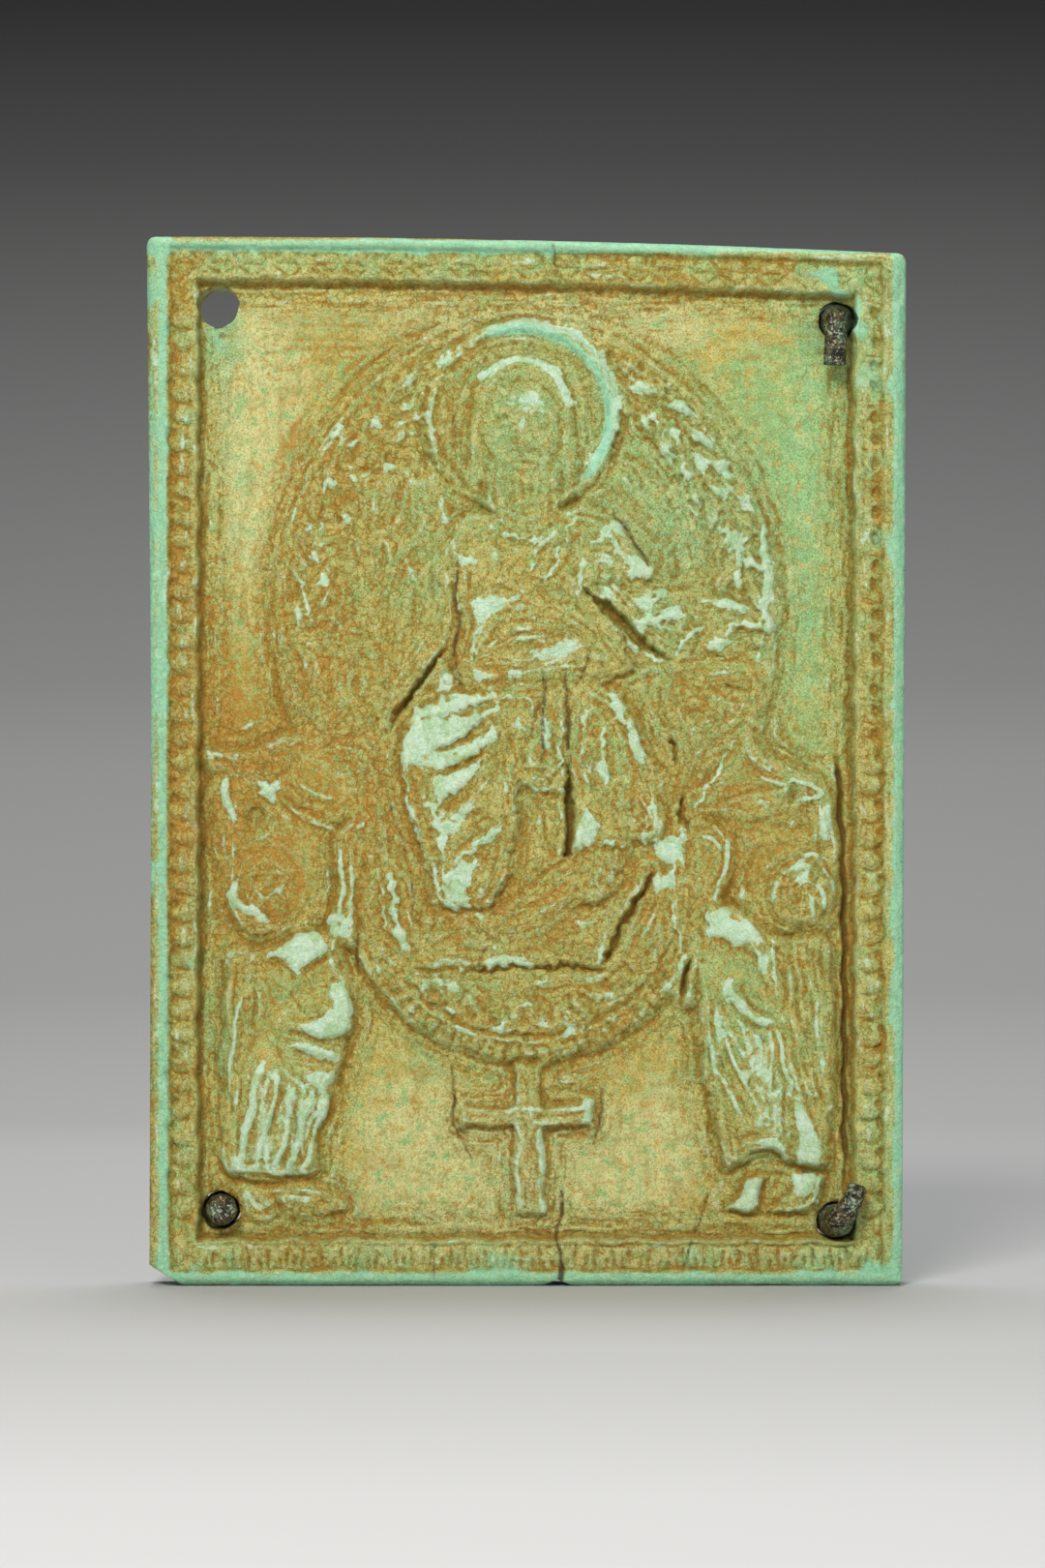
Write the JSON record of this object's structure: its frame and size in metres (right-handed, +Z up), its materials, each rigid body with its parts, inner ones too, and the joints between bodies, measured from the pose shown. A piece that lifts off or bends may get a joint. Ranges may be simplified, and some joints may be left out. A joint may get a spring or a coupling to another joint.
{
  "type": "carved bone plaque",
  "caption": "Carved bone relief plaque for pegging to a cover: haloed seated figure in a leafy glory, winged bearers, small cross, carved border and corroded metal pins.",
  "frame": {"origin": "middle of the flat back face", "axes": "+Z up along the height, +X to the right seen from the front, -Y out of the carved front"},
  "size_m": [0.108, 0.0124, 0.149],
  "materials": {
    "bone": "satin, stained green with brown deposits",
    "pin_metal": "corroded"
  },
  "bodies": {
    "root": {"plaque": "bone", "pin_top_right": "pin_metal", "pin_bottom_left": "pin_metal", "pin_bottom_right": "pin_metal"}
  },
  "joints": []
}
